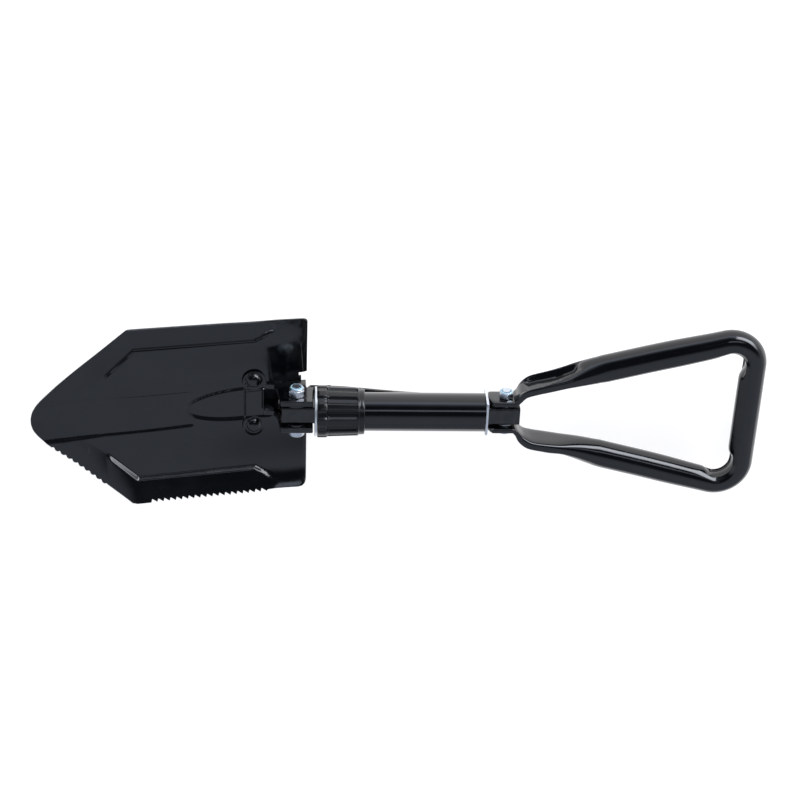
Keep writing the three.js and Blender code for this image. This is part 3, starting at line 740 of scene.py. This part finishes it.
def grip_centres():
    """Stations of one half up to the middle of the bar, and the centre of the bend.

    A station is x, y, half width, half depth, lift of the centre.
    """
    flat = []
    for x in (-14.4, -14.1, -13.4, -12.4, -11.2, -10, -6, -2, 2, 5, 7):
        top = min(10.4, math.sqrt(max(0.0, EAR_R ** 2 - x * x)) + 0.2)
        low = -7.9 - 2.5 * math.sqrt(max(0.0, 1 - (max(0.0, -11.9 - x) / 2.5) ** 2))
        flat.append((x, EAR_Y, EAR_HALF, (top - low) / 2, (top + low) / 2))
    bent = [(8.4, 13.6, 2.5, 10.4, 0), (10.6, 16.2, 2.5, 10.4, 0), (13.6, 20.6, 3.6, 10.7, 0),
            (16.8, 23.3, 4.2, 11.7, 0), (20.7, 25.3, 4.4, 12.7, 0), (26, 26.8, 4.4, 13, 0),
            (32, 28.1, 4.6, 13, 0), (40, 30, 5.2, 12.8, 0), (48, 32.1, 6.4, 12.4, 0),
            (56, 34.2, 8.2, 12, 0), (64, 36.3, 9.7, 11.7, 0), (72, 38.4, 10.7, 11.5, 0),
            (80, 40.4, TUBE_R, TUBE_R, 0)]
    curve = [tuple(q) for q in spline(bent, 3)]
    out = [(GRIP_X + x, y, w, h, c) for x, y, w, h, c in flat + curve]

    def arm(x):
        return 25 + SLOPE * (x - GRIP_X - 20.7)
    cx = BAR_X - BEND_R
    angle = math.atan(SLOPE)
    cy = arm(cx) - BEND_R / math.cos(angle)
    start = cx - BEND_R * math.sin(angle)
    for i in range(1, 26):
        x = GRIP_X + 80 + (start - GRIP_X - 80) * i / 26
        q = TUBE_R + (BAR_R - TUBE_R) * ease((i - 14) / 12)
        out.append((x, arm(x), q, q, 0))
    out += [(x, y, BAR_R, BAR_R, 0) for x, y in arc(cx, cy, BEND_R, 90 + math.degrees(angle), 0, 26)]
    out += [(BAR_X, cy * (1 - i / 14), BAR_R, BAR_R, 0) for i in range(1, 15)]
    return out, (cx, cy)


def press(v, h, depth, half):
    """Depth of a pressed channel across a section."""
    return depth * (1 - ease((abs(v) / h - half) / 0.3)) if depth else 0.0


def make_grip():
    half, (cx, cy) = grip_centres()
    stations = half + [(x, -y, w, h, c) for x, y, w, h, c in reversed(half[:-1])]
    last = len(stations) - 1
    verts, faces = [], []
    for i, (x, y, w, h, c) in enumerate(stations):
        a, b = stations[max(0, i - 1)], stations[min(last, i + 1)]
        length = math.hypot(b[0] - a[0], b[1] - a[1])
        nx, ny = -(b[1] - a[1]) / length, (b[0] - a[0]) / length
        if i < 9 or i > last - 9:  # the flat ends stay square to the bolt
            nx, ny = 0.0, 1.0 if i < 9 else -1.0
        r = x - GRIP_X
        channel = ease((r - 12) / 8) * (1 - ease((r - 55) / 8))
        depth_out = channel * min(2 * w - 2.8, 6.2) if w > 2.1 else 0.0
        half_out = 0.62 - 0.34 * ease((r - 24) / 36)
        sink = 3.2 * ease((r - 8) / 60) * (1 - 0.5 * ease((r - 110) / 70))
        bend = math.degrees(math.atan2(abs(y) - cy, x - cx))
        corner = 0.0
        if x > cx - 14:
            corner = ease((bend + 32) / 26) * (1 - ease((bend - 100) / 26))
        flat = ease((x - cx + 22) / 26)
        waist = 3.4 * ease((r - 36) / 18) * (1 - ease((r - 62) / 26))
        power = 1 if w / h > 0.95 else 0.22 + 0.78 * (w / h)
        for j in range(SIDES):
            t = 2 * math.pi * (j + 0.5) / SIDES
            u = math.copysign(abs(math.cos(t)) ** power, math.cos(t)) * w
            v = math.copysign(abs(math.sin(t)) ** power, math.sin(t)) * h
            if u > 0:
                u -= waist * max(0.0, v / h) * (u / w)
                u -= press(v, h, depth_out, half_out) * min(1, u / (0.6 * w))
            elif corner:
                u += press(v, h, 4.0 * corner, 0.42) * min(1, -u / (0.5 * w))
            if flat:
                over = abs(v) * FLAT_SIN - u * FLAT_COS - (1 - 0.11 * flat) * w
                if over > 0:
                    u, v = u + over * FLAT_COS, v - math.copysign(over * FLAT_SIN, v)
            verts.append((x + nx * u, y + ny * u, v + c - sink))
    for i in range(last):
        for j in range(SIDES):
            near, far, k = i * SIDES, (i + 1) * SIDES, (j + 1) % SIDES
            faces.append((near + j, near + k, far + k, far + j))
    for base in (0, last * SIDES):
        ring = [base + j for j in range(SIDES)]
        m = len(verts)
        verts.append(tuple(sum(verts[q][k] for q in ring) / SIDES for k in range(3)))
        faces += [(ring[j], ring[(j + 1) % SIDES], m) for j in range(SIDES)]
    piece("bent_grip", verts, faces, "grip", "paint", PAINT_THICK, ("grip_frame",), angle=48)


# ---------------------------------------------------------------- pick
PICK_LOW, PICK_HIGH = -26.6, -22.7
CHEEK_IN, CHEEK_OUT = 8.3, 9.7  # the two cheeks, from the centre line


def make_pick():
    """Two cheeks round the bolt, a heel that closes the blade's slot, and a tapered spike."""
    cheek = arc(0, 0, 9.8, -20, 200, 36)
    cheek += [(-7.6, -8), (-3, -14), (2, -17.6), (5.5, -20.4), (9, -23), (11.5, PICK_LOW),
              (28, PICK_LOW), (30, PICK_LOW + 1.4), (28, PICK_HIGH), (14.2, PICK_HIGH),
              (13.4, -12)]
    leg = [(-6, -6), (-9.4, -9), (-15.2, -19), (-17.4, -25), (-12.2, -27.4), (-9.4, -21.6),
           (-6, -14)]
    shapes = []
    for s in (1, -1):
        near, far = sorted((s * CHEEK_IN, s * CHEEK_OUT))
        shapes += [prism(cheek, near, far, "y"), prism(leg, near, far, "y")]
    heel = [(-27.7, -15.7), (-27.15, -18.9)] + arc(0, 0, 33.0, 216.5, 221, 4)
    heel += arc(0, 0, 31.3, 225, 246, 12) + arc(0, 0, 29.3, 246, 221, 12)
    heel += [(-18.5, -20.2), (-15.4, -20.6), (-14.4, -20), (-14.6, -19.2), (-25.6, -17.2),
             (-26.6, -16.2), (-27.2, -15.6)]
    shapes.append(prism(heel, -9.9, 9.9, "y"))
    spike = [(11.5, -9.7), (28, -9.7), (40, -9.1), (56, -7.6), (68, -6.4), (80, -5.3), (92, -4.4),
             (106, -3.5), (120, -2.7), (136, -2), (148, -1.4), (154, -0.8), (156, 0)]
    outline = spike + [(x, -y) for x, y in reversed(spike[:-1])]
    ridge = [(x, 0.55 * y) for x, y in outline]
    n = len(outline)
    verts = [(x, y, PICK_LOW + 0.7) for x, y in outline]
    verts += [(x, y, PICK_HIGH - 0.9) for x, y in outline]
    verts += [(x - 0.6, 0.84 * y, PICK_HIGH) for x, y in ridge]
    verts += [(x - 0.6, 0.9 * y, PICK_LOW) for x, y in outline]
    faces = []
    for i in range(n):
        k = (i + 1) % n
        faces += [(i, k, n + k, n + i), (n + i, n + k, 2 * n + k, 2 * n + i),
                  (k, i, 3 * n + i, 3 * n + k)]
    faces += [tuple(2 * n + i for i in range(n)), tuple(3 * n + i for i in reversed(range(n)))]
    piece("stowed_pick", *merged((verts, faces), *shapes), "pick", "paint", PAINT, ("pick",),
          bevel=0.35, angle=40)


make_blade()
make_bracket()
make_rivets()
make_fasteners()
make_shaft()
make_collar()
make_grip()
make_pick()


# ---------------------------------------------------------------- floor, light, camera
BOX, LAMP = 0.53, 7.0  # brightness of the soft box overhead and of the lamp at the side
SKY, GLOW = 20.0, 1.5  # strengths of the world and of the floor's glow; divide their stops
DISTANCE = 1.53  # from the camera to the point it looks at, in metres


def make_floor():
    me = bpy.data.meshes.new("studio_floor")
    me.from_pydata([(-4, -4, 0), (4, -4, 0), (4, 4, 0), (-4, 4, 0)], [], [(0, 1, 2, 3)])
    obj = bpy.data.objects.new("studio_floor", me)
    bpy.context.scene.collection.objects.link(obj)
    mat, tree, bsdf = new_material("pale_floor")
    feed(tree, bsdf, "Base Color", noise(tree, 3, 2),
         [(0.3, (0.26, 0.262, 0.267)), (0.7, (0.28, 0.28, 0.284))])
    bsdf.inputs["Roughness"].default_value = 0.9
    bsdf.inputs["Specular IOR Level"].default_value = 0.0
    # a paler glow beside the shovel lights its nut side
    split = add(tree, "SeparateXYZ")
    tree.links.new(add(tree, "TexCoord").outputs["Object"], split.inputs[0])
    glow = [(-0.03, 0.85), (0.0, 0.92), (0.03, 1.1), (0.075, 0.95), (0.19, 0.87), (0.5, 0.85)]
    across = add(tree, "Math", operation="ADD")
    tree.links.new(split.outputs[1], across.inputs[0])
    across.inputs[1].default_value = 0.2
    feed(tree, bsdf, "Emission Color", across.outputs[0],
         [(y + 0.2, (0.99 * v / GLOW, 0.99 * v / GLOW, v / GLOW)) for y, v in glow])
    bsdf.inputs["Emission Strength"].default_value = GLOW
    me.materials.append(mat)


def make_world():
    """Soft box lined up with the shovel: its brightness follows the angle round the X axis.

    A lamp stands to the right.
    """
    world = bpy.data.worlds.new("studio")
    bpy.context.scene.world = world
    world.use_nodes = True
    tree = world.node_tree
    tree.nodes.clear()
    out = tree.nodes.new("ShaderNodeOutputWorld")
    light = tree.nodes.new("ShaderNodeBackground")
    light.inputs["Strength"].default_value = SKY
    split = tree.nodes.new("ShaderNodeSeparateXYZ")
    tree.links.new(tree.nodes.new("ShaderNodeTexCoord").outputs["Generated"], split.inputs[0])

    def calc(kind, a, b=None, c=None):
        node = add(tree, "Math", operation=kind)
        for socket, value in zip(node.inputs, (a, b, c)):
            if isinstance(value, (int, float)):
                socket.default_value = value
            elif value is not None:
                tree.links.new(value, socket)
        return node.outputs[0]

    x, y, z = split.outputs[0], split.outputs[1], split.outputs[2]
    turn = calc("MULTIPLY_ADD", calc("ARCTAN2", y, z), 1 / (2 * math.pi), 0.5)
    # the soft box ends sooner towards +X
    lean = calc("MULTIPLY_ADD", calc("MAXIMUM", x, 0.0), 0.05, turn)

    def band(source, stops):
        """Stops in degrees from straight up, as values of a cool white."""
        return ramp(tree, source, [((d + 180) / 360, (0.89 * v / SKY, 0.98 * v / SKY, 1.17 * v / SKY))
                                   for d, v in stops])

    box = band(lean, [(-180, 0.4), (-90, 0.5 * BOX), (-75, 0.68 * BOX), (-55, 0.8 * BOX), (-38, BOX),
                      (-11, BOX), (-4, 0.85 * BOX), (1, 0.64 * BOX), (6, 0.3 * BOX), (10.5, 0.05),
                      (58, 0.05), (63, 0.12), (68, 0.26), (74, 0.6), (80, 1.4), (90, 1.5),
                      (180, 1.6)])
    strip = band(turn, [(0, 0), (31, 0), (34, 1.5), (38, 1.5), (41.5, 0), (180, 0)])
    side = ramp(tree, x, [(0.0, 0.0), (0.04, 1.0), (0.45, 1.0), (0.6, 0.0)])
    # the lamp: a low wide panel between two compass bearings
    bearing = calc("MULTIPLY_ADD", calc("ARCTAN2", y, x), 1 / (2 * math.pi), 0.5)
    wide = ramp(tree, bearing, [((d + 180) / 360, v)
                                for d, v in ((9, 0.0), (14, 1.0), (68, 1.0), (74, 0.0))])
    tall = ramp(tree, z, [(0.08, 0.0), (0.13, 1.0), (0.42, 1.0), (0.5, 0.0)])
    lamp = mix(tree, calc("MULTIPLY", wide, tall), (0.0, 0.0, 0.0), (0.9, 0.93, 1.0))

    def plus(a, b, factor=1.0):
        node = tree.nodes.new("ShaderNodeMix")
        node.data_type, node.blend_type = "RGBA", "ADD"
        if isinstance(factor, float):
            node.inputs[0].default_value = factor
        else:
            tree.links.new(factor, node.inputs[0])
        tree.links.new(a, node.inputs[6])
        tree.links.new(b, node.inputs[7])
        return node.outputs[2]

    total = plus(plus(box, strip, side), lamp, LAMP / SKY)
    # straight along the shovel the box closes with a plain end
    ends = ramp(tree, calc("ABSOLUTE", x), [(0.8, 0.0), (0.97, 1.0)], smooth=True)
    total = mix(tree, ends, total, (0.03, 0.031, 0.034))
    tree.links.new(total, light.inputs["Color"])
    tree.links.new(light.outputs[0], out.inputs[0])


def make_light(name, at, size, power):
    lamp = bpy.data.lights.new(name, "AREA")
    lamp.shape, lamp.size, lamp.energy = "DISK", size, power
    obj = bpy.data.objects.new(name, lamp)
    obj.location = at
    obj.rotation_euler = (-Vector(at)).to_track_quat("-Z", "Y").to_euler()
    obj.visible_glossy = False
    bpy.context.scene.collection.objects.link(obj)


def make_camera():
    """The camera at the photograph's angle, turned from straight above the shovel."""
    cam = bpy.data.cameras.new("camera")
    cam.lens, cam.sensor_width, cam.clip_start, cam.clip_end = 83.79, 36, 0.05, 30
    obj = bpy.data.objects.new("camera", cam)
    bpy.context.scene.collection.objects.link(obj)
    pitch, yaw, roll = (math.radians(v) for v in (30, -3.32, 0.38))
    base = Matrix(((1, 0, 0), (0, math.cos(pitch), -math.sin(pitch)),
                   (0, math.sin(pitch), math.cos(pitch))))
    turn = Matrix(((math.cos(yaw), 0, -math.sin(yaw)), (0, 1, 0),
                   (math.sin(yaw), 0, math.cos(yaw))))
    tip = Matrix(((math.cos(roll), math.sin(roll), 0), (-math.sin(roll), math.cos(roll), 0),
                  (0, 0, 1)))
    axes = (tip @ turn @ base).transposed()
    look = Vector((84.9, 11.2, 0)) * MM + ORIGIN
    obj.matrix_world = Matrix.Translation(look + axes @ Vector((0, 0, DISTANCE))) @ axes.to_4x4()
    bpy.context.scene.camera = obj


make_floor()
make_world()
make_light("key_light", (0.3, 0.6, 2.4), 2.4, 20)
make_light("fill_light", (-0.6, -1.4, 2.0), 2.4, 10)
make_camera()
bpy.context.scene.view_settings.view_transform = "Standard"
